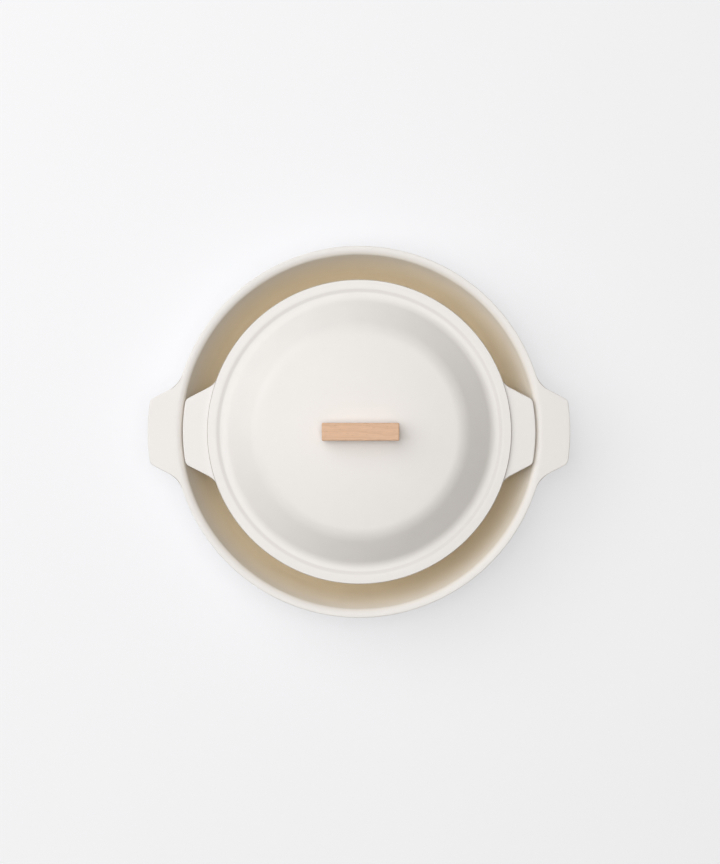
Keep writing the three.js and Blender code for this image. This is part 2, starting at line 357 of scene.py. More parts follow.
def with_support(face):
    rows = [face[0]]
    for (start, normal, stage), (end, end_normal, end_stage) in zip(face, face[1:]):
        length = (end - start).length
        if normal.dot(end_normal) > STRAIGHT and length > SHORTEST_STRETCH:
            count = math.ceil(length / ROW_SPACING)
            inner = [index / count for index in range(1, count)]
            for share in [SUPPORT / length, *inner, 1 - SUPPORT / length]:
                between = stage + (end_stage - stage) * share
                rows.append((start.lerp(end, share), normal, between))
        rows.append((end, end_normal, end_stage))
    return rows


def edge_rows(top, bottom, edge_round):
    rows = []
    for step in range(EDGE_STEPS + 1):
        angle = math.pi / 2 * (1 - step / EDGE_STEPS)
        inset = edge_round * (1 - math.cos(angle))
        # The third value is painted shade, darkest in the middle of the rounded corner
        rows.append((inset, top - edge_round * (1 - math.sin(angle)), math.sin(2 * angle)))
    below = [(inset, top + bottom - height, uneven) for inset, height, uneven in reversed(rows)]
    return rows + below


def shell_rows(corners, sheet, edge_round, upper_lining, lower_lining, shade_by_stage):
    face = bent_face(corners, sheet)[:-1]
    reach = face[-1][0].x
    top = face[-1][0].y
    bottom = top - sheet
    face = with_support(face)
    # The last value of each row on the face is its painted shade
    rows = [(at.x, at.y, 0, 0, upper_lining(stage), shade_by_stage(stage)) for at, _, stage in face]
    rows += [(reach, top, share, edge_round, upper_lining(math.inf), 0) for share in FLANGE_SHARES]
    edge = edge_rows(top, bottom, edge_round)
    rows += [(reach, height, 1, inset, 0, uneven) for inset, height, uneven in edge]
    shares = reversed(FLANGE_SHARES)
    rows += [(reach, bottom, share, edge_round, lower_lining(math.inf), 0) for share in shares]
    under = [(at - normal * sheet, stage) for at, normal, stage in reversed(face)]
    rows += [(at.x, at.y, 0, 0, lower_lining(stage), 0) for at, stage in under]
    return rows


def fades_out(start, end):
    # A smooth step: it starts and ends level
    def lining(stage):
        share = min(max((stage - start) / (end - start), 0), 1)
        return 1 - share * share * (3 - 2 * share)
    return lining


def bare(stage):
    return 0


print("An edge takes", len(edge_rows(0, -POT_SHEET, POT_EDGE_ROUND)), "rows")

# %% [markdown]
# Outlines of the flanges
#
# A press leaves a wide flange round the pot, and a second tool trims it to the rim and the two
# tabs. The outline is a circle with a flared tab at each end: an arc at the tab's end, a round
# corner, a straight slanted side and a round root. Each point keeps the direction that faces out of
# the outline, which the rounded edge follows, and how much painted shade darkens the corners of the
# edge there: on a pot only the roots of the tabs get it, most in the middle of each root, and the
# lid's plain circle gets it all round. Only a quarter is worked out, and the rest mirrors it.

# %% Trimmed outlines
AXIS = Vector((0, 0))
RIM_STEP = math.radians(1.5)
CORNER_STEP = math.radians(8)
ROOT_STEP = math.radians(4)
SIDE_POINTS = 5


def round_centre(start, along, reach):
    half = start.dot(along)
    travel = -half - math.sqrt(half * half - start.length_squared + reach * reach)
    return start + along * travel


def heading(angle):
    return Vector((math.cos(angle), math.sin(angle)))


def angle_of(direction):
    return math.atan2(direction.y, direction.x)


def outline_arc(centre, radius, start, end, step, root=False):
    count = max(2, math.ceil(abs(end - start) / step))
    points = []
    for index in range(count + 1):
        way = heading(start + (end - start) * index / count)
        # Painted shade on the edge's corners in a tab's root, darkest in the middle of the root
        thin = math.sin(math.pi * index / count) if root else 0
        points.append((centre + way * radius, -way if root else way, thin))
    return points


def tabbed_quarter(rim, tab_end):
    along = heading(math.pi - TAB_FLARE)
    outward = heading(math.pi / 2 - TAB_FLARE)
    tip = Vector((tab_end, TAB_END_WIDTH / 2))
    corner = round_centre(tip - outward * TAB_CORNER, along, tab_end - TAB_CORNER)
    root = round_centre(tip + outward * TAB_ROOT, along, rim + TAB_ROOT)
    facing = angle_of(outward)
    side_start = corner + outward * TAB_CORNER
    side_end = root - outward * TAB_ROOT
    shares = [index / SIDE_POINTS for index in range(1, SIDE_POINTS)]
    side = [(side_start.lerp(side_end, share), outward, 0) for share in shares]
    return [
        *outline_arc(AXIS, tab_end, 0, angle_of(corner), RIM_STEP)[:-1],
        *outline_arc(corner, TAB_CORNER, angle_of(corner), facing, CORNER_STEP),
        *side,
        *outline_arc(root, TAB_ROOT, facing + math.pi, angle_of(root) + math.pi, ROOT_STEP, root=True),
        *outline_arc(AXIS, rim, angle_of(root), math.pi / 2, RIM_STEP)[1:],
    ]


def tabbed_outline(rim, tab_end):
    quarter = tabbed_quarter(rim, tab_end)
    flip = Vector((-1, 1))
    half = quarter + [(at * flip, facing * flip, thin) for at, facing, thin in reversed(quarter[1:-1])]
    return half + [(-at, -facing, thin) for at, facing, thin in half]


def round_outline(radius, points):
    turns = [2 * math.pi * index / points for index in range(points)]
    # The lid's round edge gets painted shade all the way round
    return [(heading(turn) * radius, heading(turn), 1) for turn in turns]


wide_outline = tabbed_outline(wide_high.y, wide_high.x)
small_outline = tabbed_outline(small_high.y, small_high.x)
print("Outline of the wide pot:", len(wide_outline), "points")

# %% [markdown]
# From section and outline to shell
#
# A lathe-like spin would make round shells but no tabs, and a sheet with thickness added afterwards
# would lose its exact bends. The rule for all three shells is short: every row goes once round the
# outline, and the rows across the flange move from the round body towards the trimmed edge. That is
# a job for Geometry Nodes. The section is the object's own mesh, the outline is a second object, and
# a grid with one row of points for each row of the section is bent into the shell.


# %% Helpers that store and read rows
def add_object(name, data):
    added = bpy.data.objects.new(name, data)
    bpy.context.scene.collection.objects.link(added)
    return added


def wire_object(name, points, attributes):
    mesh = bpy.data.meshes.new(name)
    edges = [(index, index + 1) for index in range(len(points) - 1)]
    mesh.from_pydata(points, edges, [])
    for label, (kind, field, values) in attributes.items():
        layer = mesh.attributes.new(label, kind, "POINT")
        layer.data.foreach_set(field, values)
    return add_object(name, mesh)


def section_object(name, rows):
    labels = ("share", "inset", "lining", "uneven")
    columns = list(zip(*rows))[2:]
    attributes = {label: ("FLOAT", "value", column) for label, column in zip(labels, columns)}
    return wire_object(name, [(row[0], 0, row[1]) for row in rows], attributes)


def outline_object(name, outline):
    facings = [number for _, facing, _ in outline for number in (facing.x, facing.y, 0)]
    attributes = {
        "facing": ("FLOAT_VECTOR", "vector", facings),
        "thin": ("FLOAT", "value", [thin for _, _, thin in outline]),
    }
    return wire_object(name, [(at.x, at.y, 0) for at, _, _ in outline], attributes)


def new_geometry_tree(name, first_input, inputs, output):
    tree = bpy.data.node_groups.new(name, "GeometryNodeTree")
    tree.interface.new_socket(first_input, in_out="INPUT", socket_type="NodeSocketGeometry")
    for label, kind in inputs.items():
        tree.interface.new_socket(label, in_out="INPUT", socket_type=kind)
    tree.interface.new_socket(output, in_out="OUTPUT", socket_type="NodeSocketGeometry")
    return tree, add_node(tree, "NodeGroupInput").outputs


def named(tree, name, kind="FLOAT"):
    node = add_node(tree, "GeometryNodeInputNamedAttribute", {"Name": name}, data_type=kind)
    return node.outputs["Attribute"]


def looked_up(tree, geometry, value, index, kind="FLOAT"):
    inputs = {"Geometry": geometry, "Value": value, "Index": index}
    return add_node(tree, "GeometryNodeSampleIndex", inputs, data_type=kind).outputs["Value"]


def point_count(tree, geometry):
    size = add_node(tree, "GeometryNodeAttributeDomainSize", {"Geometry": geometry})
    return size.outputs["Point Count"]


def stored(tree, geometry, name, value):
    inputs = {"Geometry": geometry, "Name": name, "Value": value}
    node = add_node(tree, "GeometryNodeStoreNamedAttribute", inputs, data_type="FLOAT", domain="POINT")
    return node.outputs["Geometry"]


def finished(tree, geometry, finish, output):
    real = add_node(tree, "GeometryNodeRealizeInstances", {"Geometry": geometry}).outputs["Geometry"]
    dressed = add_node(tree, "GeometryNodeSetMaterial", {"Geometry": real, "Material": finish})
    add_node(tree, "NodeGroupOutput", {output: dressed.outputs["Geometry"]})


print("Row helpers ready")

# %% The tree that bends a grid into a shell
MERGE_DISTANCE = 1e-6


def pressed_shell_tree():
    inputs = {"Outline": "NodeSocketObject", "Finish": "NodeSocketMaterial"}
    tree, given = new_geometry_tree("pressed shell", "Section", inputs, "Shell")
    section = given["Section"]
    outline = add_node(tree, "GeometryNodeObjectInfo", {"Object": given["Outline"]}).outputs["Geometry"]
    around = point_count(tree, outline)
    row_length = maths(tree, "ADD", around, 1)
    counts = {"Vertices X": point_count(tree, section), "Vertices Y": row_length}
    grid = add_node(tree, "GeometryNodeMeshGrid", counts).outputs["Mesh"]
    index = add_node(tree, "GeometryNodeInputIndex").outputs["Index"]
    row = maths(tree, "FLOOR", maths(tree, "DIVIDE", index, row_length))
    turn = maths(tree, "MODULO", maths(tree, "MODULO", index, row_length), around)

    position = add_node(tree, "GeometryNodeInputPosition").outputs["Position"]
    row_place = looked_up(tree, section, position, row, "FLOAT_VECTOR")
    at_row = add_node(tree, "ShaderNodeSeparateXYZ", {0: row_place})
    share = looked_up(tree, section, named(tree, "share"), row)
    inset = looked_up(tree, section, named(tree, "inset"), row)
    at_edge = looked_up(tree, outline, position, turn, "FLOAT_VECTOR")
    facing = looked_up(tree, outline, named(tree, "facing", "FLOAT_VECTOR"), turn, "FLOAT_VECTOR")

    on_body = scaled(tree, vector_maths(tree, "NORMALIZE", at_edge), at_row.outputs["X"])
    on_edge = vector_maths(tree, "SUBTRACT", at_edge, scaled(tree, facing, inset))
    across = scaled(tree, vector_maths(tree, "SUBTRACT", on_edge, on_body), share)
    height = vector_from(tree, Z=at_row.outputs["Z"])
    place = vector_maths(tree, "ADD", vector_maths(tree, "ADD", on_body, across), height)
    moved = {"Geometry": grid, "Position": place}
    bent = add_node(tree, "GeometryNodeSetPosition", moved).outputs["Geometry"]
    lining = looked_up(tree, section, named(tree, "lining"), row)
    # Painted shade: the section's value times the outline's, so a pot gets it only in its tab roots
    thin = looked_up(tree, outline, named(tree, "thin"), turn)
    uneven = maths(tree, "MULTIPLY", looked_up(tree, section, named(tree, "uneven"), row), thin)
    bent = stored(tree, stored(tree, bent, "lining", lining), "uneven", uneven)
    seams = {"Geometry": bent, "Distance": MERGE_DISTANCE}
    closed = add_node(tree, "GeometryNodeMergeByDistance", seams).outputs["Geometry"]
    smooth = add_node(tree, "GeometryNodeSetShadeSmooth", {"Geometry": closed})
    finished(tree, smooth.outputs["Geometry"], given["Finish"], "Shell")
    return tree


PRESSED_SHELL = pressed_shell_tree()
print("The shell tree has", len(PRESSED_SHELL.nodes), "nodes")

# %% Running a tree on an object
CM3 = 1e6  # cubic centimetres in a cubic metre, for what is printed


def add_tree(piece, tree, values):
    modifier = piece.modifiers.new(tree.name, "NODES")
    modifier.node_group = tree
    for item in tree.interface.items_tree:
        if item.in_out == "INPUT" and item.name in values:
            modifier[item.identifier] = values[item.name]


def settle(piece):
    graph = bpy.context.evaluated_depsgraph_get()
    mesh = bpy.data.meshes.new_from_object(piece.evaluated_get(graph), depsgraph=graph)
    piece.modifiers.clear()
    piece.data = mesh
    mesh.name = piece.name


def tell(piece):
    work = bmesh.new()
    work.from_mesh(piece.data)
    loose = sum(not edge.is_manifold for edge in work.edges)
    volume = CM3 * work.calc_volume(signed=True)
    faces = len(work.faces)
    work.free()
    print(f"{piece.name}: {faces} faces, {volume:.2f} cm3, {loose} open edges")


def pressed_shell(name, rows, outline):
    piece = section_object(name, rows)
    edge = outline_object(name + " outline", outline)
    add_tree(piece, PRESSED_SHELL, {"Outline": edge, "Finish": COATING})
    settle(piece)
    bpy.data.objects.remove(edge)
    return piece


print("Ready to run trees")

# %% [markdown]
# The two pots
#
# Each pot is one pressing: a flat floor, a wide bend, a wall that leans out so that the pot leaves
# its tool, a short sloping lip and the flat flange of the rim. The lining is sprayed in from above:
# it thins out towards the mouth, and a mist of it reaches over the lip. Its long fade up the wall is
# also painted light: a fuller beige low down for the warm light that bounces between the pots, and
# a paler one higher up where direct light falls. Both pots are made by the same function because
# the real ones come from two sizes of the same tool.

# %% Pots
# The lining's long fade is partly painted light: fuller beige low down for bounce light, paler higher
# up
LINING_START = 1.17  # in stages along the section: 1 is the floor's bend, 2 the mouth and 3 the lip
LINING_END = 1.91
MIST_END = 3.5
MIST_SHARE = 0.28


# Share of beige: the real lining fading out up the wall, its fuller tint low down also painted bounce
# light
def lining_and_painted_bounce(stage):
    spray = fades_out(LINING_START, LINING_END)(stage)
    mist = fades_out(LINING_START, MIST_END)(stage)
    return spray + (mist - spray) * MIST_SHARE


def pot_rows(low, high):
    mouth = high.y - rim_reach
    floor = low.z + POT_SHEET
    mouth_height = high.z - lip_rise
    floor_reach = mouth - (mouth_height - floor) * math.tan(WALL_DRAFT)
    corners = [
        (0, floor),
        (floor_reach, floor, FLOOR_BEND),
        (mouth, mouth_height, MOUTH_BEND),
        (mouth + lip_reach, high.z, LIP_BEND),
        (high.x, high.z),
    ]
    return shell_rows(corners, POT_SHEET, POT_EDGE_ROUND, lining_and_painted_bounce, bare, bare)


wide_pot = pressed_shell("wide_pot_shell", pot_rows(wide_low, wide_high), wide_outline)
small_pot = pressed_shell("small_pot_shell", pot_rows(small_low, small_high), small_outline)
tell(wide_pot)
tell(small_pot)

# %% [markdown]
# The lid
#
# The lid is pressed from thinner sheet. From the middle out it has a slightly domed crown, a sloping
# shoulder, a shallow step up and a flat band that rests on the rim. What lies inside the step hangs
# a little into the smaller pot's mouth, which keeps the lid in its place. A band of painted shade
# darkens the coat along the step. The lid has no tabs, so its outline is a plain circle.

# %% Lid
LID_SHEET = 0.002
LID_EDGE_ROUND = 0.0005
LID_POINTS = 288
SEAT_GAP = 0.0003
STEP_INSET = 0.0027
STEP_REACH = 0.0033
STEP_RISE = 0.0007
STEP_BEND = 0.008
FOOT_REACH = 0.0048
FOOT_BEND = 0.008
SHOULDER_SLOPE = math.radians(40)
SHOULDER_DROP = 0.0177
SHOULDER_BEND = 0.016
CROWN_SLOPE = math.radians(5)
LID_LINING_START = 3.5  # stages on the underside: 3 is the shoulder's foot and 4 the foot of the step
LID_LINING_END = 4.5
# Painted shade along the step: the stage where it is darkest, how dark, and how far it reaches
STEP_SHADE_STAGE = 4.5
STEP_SHADE_SHARE = 0.34
STEP_SHADE_REACH = 0.55


def lid_corners():
    band = small_high.z + SEAT_GAP + LID_SHEET
    step = Vector((small_high.y - rim_reach - STEP_INSET, band - STEP_RISE))
    foot = step - Vector((FOOT_REACH, 0))
    shoulder = foot + Vector((-SHOULDER_DROP / math.tan(SHOULDER_SLOPE), SHOULDER_DROP))
    tangent = (SHOULDER_BEND + LID_SHEET) * math.tan((SHOULDER_SLOPE - CROWN_SLOPE) / 2)
    crown = (shoulder.x - tangent) / 2
    crown_bend = crown / math.tan(CROWN_SLOPE / 2) - LID_SHEET
    return [
        (0, lid_high.z),
        (crown, lid_high.z, crown_bend),
        (*shoulder, SHOULDER_BEND),
        (*foot, FOOT_BEND),
        (*step, STEP_BEND),
        (step.x + STEP_REACH, band, STEP_BEND),
        (lid_high.x, band),
    ]


# Painted shade along the lid's step, darkest at its middle
def shade_at_step(stage):
    return STEP_SHADE_SHARE * max(0, 1 - abs(stage - STEP_SHADE_STAGE) / STEP_SHADE_REACH)


lid_lining = fades_out(LID_LINING_START, LID_LINING_END)
lid_rows = shell_rows(lid_corners(), LID_SHEET, LID_EDGE_ROUND, bare, lid_lining, shade_at_step)
lid = pressed_shell("pressed_lid", lid_rows, round_outline(lid_high.x, LID_POINTS))
tell(lid)

# %% [markdown]
# Turned hardware
#
# Screws, washers, seals and threaded inserts are all turned or moulded round an axis. Blender's Spin
# tool would do for plain ones. Here a ring's radius may also follow a rule of its angle and height,
# which gives a real thread to the screw and a knurl to the insert with the same few lines.


# %% Helpers for turned pieces
def scene_object(name, work):
    mesh = bpy.data.meshes.new(name)
    work.to_mesh(mesh)
    work.free()
    return add_object(name, mesh)


def turned(name, profile, sides, closed=False, rule=None):
    work = bmesh.new()
    rings = []
    for radius, height in profile:
        turns = [2 * math.pi * step / sides for step in range(sides if radius > 0 else 1)]
        radii = [rule(radius, height, turn) if rule else radius for turn in turns]
        rings.append([work.verts.new((*heading(turn) * r, height)) for turn, r in zip(turns, radii)])
    pairs = list(zip(rings, rings[1:] + rings[:1] if closed else rings[1:]))
    for lower, upper in pairs:
        for step in range(sides):
            ends = (step, (step + 1) % sides)
            corners = [lower[end % len(lower)] for end in ends]
            corners += [upper[end % len(upper)] for end in reversed(ends)]
            work.faces.new(list(dict.fromkeys(corners)))
    bmesh.ops.recalc_face_normals(work, faces=work.faces)
    return scene_object(name, work)


def rounded_ring(inner, outer, bottom, top, edge_round, steps=3):
    quarter = math.pi / 2
    middles = (
        (outer - edge_round, bottom + edge_round, -quarter),
        (outer - edge_round, top - edge_round, 0),
        (inner + edge_round, top - edge_round, quarter),
        (inner + edge_round, bottom + edge_round, 2 * quarter),
    )
    profile = []
    for radius, height, start in middles:
        for step in range(steps + 1):
            corner = heading(start + quarter * step / steps) * edge_round
            profile.append((radius + corner.x, height + corner.y))
    return profile


def shade(piece, sharp_angle):
    for face in piece.data.polygons:
        face.use_smooth = True
    piece.data.set_sharp_from_angle(angle=math.radians(sharp_angle))


def cut(piece, cutters):
    for cutter in cutters:
        modifier = piece.modifiers.new("cut", "BOOLEAN")
        modifier.object = cutter
        modifier.solver = "EXACT"
    settle(piece)
    for cutter in cutters:
        bpy.data.objects.remove(cutter)


print("Turning helpers ready")

# %% [markdown]
# Two of each
#
# Every piece of the hardware sits twice on the lid, at the left screw and at the right one. Copying
# by hand would work, but the spacing belongs in one place. A small tree puts a copy at each end of a
# line with two points, and its spacing is a named input.

# %% The tree that sets a piece at both screws
DRILL_SIDES = 32


def pair_tree():
    inputs = {"Spacing": "NodeSocketFloat", "Finish": "NodeSocketMaterial"}
    tree, given = new_geometry_tree("pair at the screws", "Piece", inputs, "Pair")
    half = maths(tree, "MULTIPLY", given["Spacing"], -0.5)
    start = vector_from(tree, X=half)
    step = vector_from(tree, X=given["Spacing"])
    line_inputs = {"Count": 2, "Start Location": start, "Offset": step}
    line = add_node(tree, "GeometryNodeMeshLine", line_inputs).outputs["Mesh"]
    places = {"Points": line, "Instance": given["Piece"]}
    copies = add_node(tree, "GeometryNodeInstanceOnPoints", places)
    finished(tree, copies.outputs["Instances"], given["Finish"], "Pair")
    return tree


PAIR = pair_tree()
screw_low, screw_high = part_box("knob_screw_right")
screw_spacing = screw_low.x + screw_high.x


def paired(piece, finish, sharp_angle):
    shade(piece, sharp_angle)
    add_tree(piece, PAIR, {"Spacing": screw_spacing, "Finish": finish})
    settle(piece)
    tell(piece)


def drill_pair(radius, bottom, top):
    cutters = []
    for x in (-screw_spacing / 2, screw_spacing / 2):
        profile = [(0, bottom), (radius, bottom), (radius, top), (0, top)]
        cutter = turned("drill", profile, DRILL_SIDES)
        cutter.data.transform(Matrix.Translation((x, 0, 0)))
        cutters.append(cutter)
    return cutters


print(f"Screws {MM * screw_spacing:.1f} mm apart")

# %% [markdown]
# Metal and silicone finishes
#
# The base plate, screws and washers are stainless steel with fine brushed lines, the inserts are
# brass, and the sealing rings are pale silicone. Brushing changes the roughness and a little of the
# height, and hardly the colour, so the lines feed those two. The silicone only has a soft, clouded
# skin.

# %% Hardware finishes
STEEL_COLOUR = (0.48, 0.48, 0.47, 1)
STEEL_BRIGHT = (0.66, 0.66, 0.65, 1)
BRASS_COLOUR = (0.54, 0.36, 0.10, 1)
BRASS_BRIGHT = (0.70, 0.52, 0.22, 1)
SILICONE_COLOUR = (0.68, 0.66, 0.63, 1)
METAL_LINES = 4500.0
METAL_WEAR = {"Patch Scale": 400.0, "Amount": 0.7}
METAL_SHADE = (0.92, 1.06)
METAL_ROUGHNESS = (0.26, 0.42)
SILICONE_SKIN = {"Cloud Scale": 300.0, "Skin Scale": 5000.0, "Contrast": 0.04}
SILICONE_ROUGHNESS = (0.62, 0.8)


def make_metal(name, colour, bright, stretch):
    material, tree, shader, place = new_finish(name)
    shader.inputs["Metallic"].default_value = 1.0
    brushing = {"Line Scale": METAL_LINES, "Stretch": stretch}
    lines = effect(tree, BRUSHED_LINES, place, brushing)["Lines"]
    worn = effect(tree, EDGE_WEAR, place, METAL_WEAR)["Worn"]
    shade_by_line = spread_noise(tree, lines, *METAL_SHADE)
    colour = tinted(tree, mixed_colour(tree, worn, colour, bright), shade_by_line)
    roughness = spread_noise(tree, lines, *METAL_ROUGHNESS)
    normal = raised(tree, lines, strength=0.2, distance=0.00002)
    feed(tree, shader, Base_Color=colour, Roughness=roughness, Normal=normal)
    return material


def make_silicone():
    material, tree, shader, place = new_finish("pale silicone")
    skin = effect(tree, CLOUDED_SKIN, place, SILICONE_SKIN)
    colour = tinted(tree, SILICONE_COLOUR, skin["Shade"])
    roughness = spread_noise(tree, skin["Cloud"], *SILICONE_ROUGHNESS)
    normal = raised(tree, skin["Skin"], strength=0.2, distance=0.00003)
    feed(tree, shader, Base_Color=colour, Roughness=roughness, Normal=normal)
    return material


STEEL = make_metal("brushed steel", STEEL_COLOUR, STEEL_BRIGHT, stretch=30.0)
BRASS = make_metal("turned brass", BRASS_COLOUR, BRASS_BRIGHT, stretch=6.0)
SILICONE = make_silicone()
print("Finishes:", ", ".join(material.name for material in (STEEL, BRASS, SILICONE)))

# %% [markdown]
# Screws
#
# Two pan-head screws come up through the lid from below. A thread could be a bump in the material,
# but it would vanish from the mesh. It is a rule here: going once round the screw climbs one pitch,
# and the radius rises and falls with the height above that climb. The cross recess is cut with two
# bars.

# %% Screws
SCREW_RADIUS = 0.002
THREAD_PITCH = 0.0007
THREAD_DEPTH = 0.0003
ROWS_PER_PITCH = 8
HEAD_RADIUS = 0.004
HEAD_HEIGHT = 0.0026
HEAD_EDGE = 0.0009
HEAD_STEPS = 8
RECESS_SPAN = 0.0044
RECESS_WIDTH = 0.001
RECESS_DEPTH = 0.0014
SCREW_SIDES = 32

head_top = screw_low.z + HEAD_HEIGHT
thread_start = head_top + THREAD_PITCH
thread_end = screw_high.z - SCREW_RADIUS / 2


def thread_rule(radius, height, turn):
    if radius != SCREW_RADIUS or not thread_start < height < thread_end:
        return radius
    climb = height / THREAD_PITCH - turn / (2 * math.pi)
    return radius - THREAD_DEPTH * abs(2 * (climb % 1) - 1)


def screw_profile():
    rise = HEAD_HEIGHT - HEAD_EDGE
    dome = (HEAD_RADIUS ** 2 + rise ** 2) / (2 * rise)
    widest = math.asin(HEAD_RADIUS / dome)
    profile = []
    for step in range(HEAD_STEPS + 1):
        angle = widest * step / HEAD_STEPS
        profile.append((dome * math.sin(angle), screw_low.z + dome * (1 - math.cos(angle))))
    profile += [(HEAD_RADIUS, head_top), (SCREW_RADIUS, head_top)]
    length = thread_end - head_top
    count = round(length / THREAD_PITCH * ROWS_PER_PITCH)
    profile += [(SCREW_RADIUS, head_top + length * step / count) for step in range(1, count + 1)]
    return profile + [(SCREW_RADIUS / 2, screw_high.z), (0, screw_high.z)]


def bar_cutter(length, width):
    work = bmesh.new()
    bmesh.ops.create_cube(work, size=1)
    bmesh.ops.scale(work, vec=(length, width, 2 * RECESS_DEPTH), verts=work.verts)
    bmesh.ops.translate(work, vec=(0, 0, screw_low.z), verts=work.verts)
    return scene_object("recess cutter", work)


screws = turned("bar_screws", screw_profile(), SCREW_SIDES, rule=thread_rule)
cut(screws, [bar_cutter(RECESS_SPAN, RECESS_WIDTH), bar_cutter(RECESS_WIDTH, RECESS_SPAN)])
paired(screws, STEEL, sharp_angle=40)

# %% [markdown]
# Washers, seals and inserts
#
# Under each screw head lie a washer and a soft ring that keeps steam out of the hole. Inside the bar
# the screw runs into a brass insert. The insert is knurled so that it grips the wood: its outside
# follows a zigzag round the axis, apart from plain bands at its ends.

# %% Rings and inserts
SCREW_HOLE = 0.0023
WASHER_ROUND = 0.0002
SEAL_ROUND = 0.0005
RING_SIDES = 64
KNURL_TEETH = 24
KNURL_DEPTH = 0.0003
KNURL_BAND = 0.0012
INSERT_ROUND = 0.0003
INSERT_SIDES = 4 * KNURL_TEETH


def plain_ring(name, node, edge_round):
    low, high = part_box(node)
    outer = (high.x - low.x) / 2
    profile = rounded_ring(SCREW_HOLE, outer, low.z, high.z, edge_round)
    return turned(name, profile, RING_SIDES, closed=True)


def knurled_insert(name, node):
    low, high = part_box(node)
    outer = (high.y - low.y) / 2
    profile = rounded_ring(SCREW_HOLE, outer, low.z, high.z, INSERT_ROUND)
    band_low, band_high = low.z + KNURL_BAND, high.z - KNURL_BAND
    heights = (band_low - INSERT_ROUND, band_low, band_high, band_high + INSERT_ROUND)

    def knurl(radius, height, turn):
        if radius != outer or not band_low <= height <= band_high:
            return radius
        return outer - KNURL_DEPTH * abs(2 * (turn / (2 * math.pi) * KNURL_TEETH % 1) - 1)

    above_round = low.z + 2 * INSERT_ROUND
    start = next(index for index, (_, height) in enumerate(profile) if height > above_round)
    profile = profile[:start] + [(outer, height) for height in heights] + profile[start:]
    return turned(name, profile, INSERT_SIDES, closed=True, rule=knurl)


washers = plain_ring("lid_washers", "knob_washer_right", WASHER_ROUND)
seals = plain_ring("lid_seals", "knob_seal_right", SEAL_ROUND)
inserts = knurled_insert("bar_inserts", "knob_insert_right")
paired(washers, STEEL, sharp_angle=40)
paired(seals, SILICONE, sharp_angle=60)
paired(inserts, BRASS, sharp_angle=30)

# %% [markdown]
# Beech for the bar
#
# The bar is sawn from plain beech. A picture of wood would show the same grain on every face. In the
# real bar the growth rings are long tubes round the heart of the tree, and each face cuts them in
# its own way. So the finish measures how far a point is from a heart line outside the bar, and turns
# that distance into rings. Fine fibres and the short dark flecks of beech run along the bar.

# %% Wood finish
WOOD_LIGHT = (0.745, 0.485, 0.325, 1)
WOOD_LATE = (0.64, 0.395, 0.25, 1)
WOOD_FLECK = (0.50, 0.29, 0.17, 1)
WOOD_HANDLED = (0.60, 0.37, 0.24, 1)
HEART_AWAY = (0.0, 0.034, -0.052)
GRAIN_SLOPE = 0.05
RINGS_PER_METRE = 430.0
RING_SWAY = 0.004
SWAY_SCALE = 40.0
SWAY_DETAIL = 2.0
LATE_SHARPNESS = 3.0
LATE_SHARE = 0.6
FIBRES = {"Line Scale": 2600.0, "Stretch": 22.0}
FLECKS = {"Line Scale": 1500.0, "Stretch": 6.0}
FLECK_START = 0.62
FLECK_END = 0.70
FLECK_SHARE = 0.55
WOOD_WEAR = {"Patch Scale": 250.0, "Amount": 0.6}
WOOD_SHADE = (0.93, 1.05)
WOOD_ROUGHNESS = (0.5, 0.66)

bar_low, bar_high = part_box("knob_bar")


def ring_share(tree, place):
    middle = (bar_low + bar_high) / 2
    from_heart = vector_maths(tree, "SUBTRACT", place, middle + Vector(HEART_AWAY))
    along = add_node(tree, "ShaderNodeSeparateXYZ", {0: from_heart}).outputs
    across = maths(tree, "MULTIPLY_ADD", along["X"], GRAIN_SLOPE, along["Y"])
    flat = vector_from(tree, Y=across, Z=along["Z"])
    distance = add_node(tree, "ShaderNodeVectorMath", {0: flat}, operation="LENGTH").outputs["Value"]
    sway = maths(tree, "MULTIPLY", noise(tree, place, SWAY_SCALE, SWAY_DETAIL), RING_SWAY)
    rings = maths(tree, "MULTIPLY", maths(tree, "ADD", distance, sway), RINGS_PER_METRE)
    return maths(tree, "POWER", maths(tree, "FRACT", rings), LATE_SHARPNESS)


def make_wood():
    material, tree, shader, place = new_finish("plain beech")
    fibres = effect(tree, BRUSHED_LINES, place, FIBRES)["Lines"]
    spots = effect(tree, BRUSHED_LINES, place, FLECKS)["Lines"]
    flecks = remapped(tree, spots, FLECK_START, FLECK_END, 0.0, FLECK_SHARE)
    worn = effect(tree, EDGE_WEAR, place, WOOD_WEAR)["Worn"]
    late = maths(tree, "MULTIPLY", ring_share(tree, place), LATE_SHARE)
    ringed = mixed_colour(tree, late, WOOD_LIGHT, WOOD_LATE)
    flecked = mixed_colour(tree, flecks, ringed, WOOD_FLECK)
    handled = mixed_colour(tree, worn, flecked, WOOD_HANDLED)
    colour = tinted(tree, handled, spread_noise(tree, fibres, *WOOD_SHADE))
    roughness = spread_noise(tree, fibres, *WOOD_ROUGHNESS)
    normal = raised(tree, fibres, strength=0.3, distance=0.00008)
    feed(tree, shader, Base_Color=colour, Roughness=roughness, Normal=normal)
    return material


WOOD = make_wood()
print("Finish:", WOOD.name)

# %% [markdown]
# The bar and its base plate
#
# The bar is a block with softly rounded edges. Bevelling the block's edges rounds them, and weighted
# normals keep the large faces flat in the light. The thin steel plate under it keeps the wood off
# the hot lid. Its outline has round ends, and its own edges are broken with a small bevel.

# %% Bar and base plate
BAR_CORNER = 0.0009
POCKET_RADIUS = 0.00345
TIP_CLEARANCE = 0.001
POCKET_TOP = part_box("knob_insert_right")[1].z + TIP_CLEARANCE
PLATE_EDGE = 0.0003
OVERRUN = 0.0003  # how far a drill goes past a face
CREASE_ANGLE = 50  # degrees: a lesser bend is smooth
END_POINTS = 24


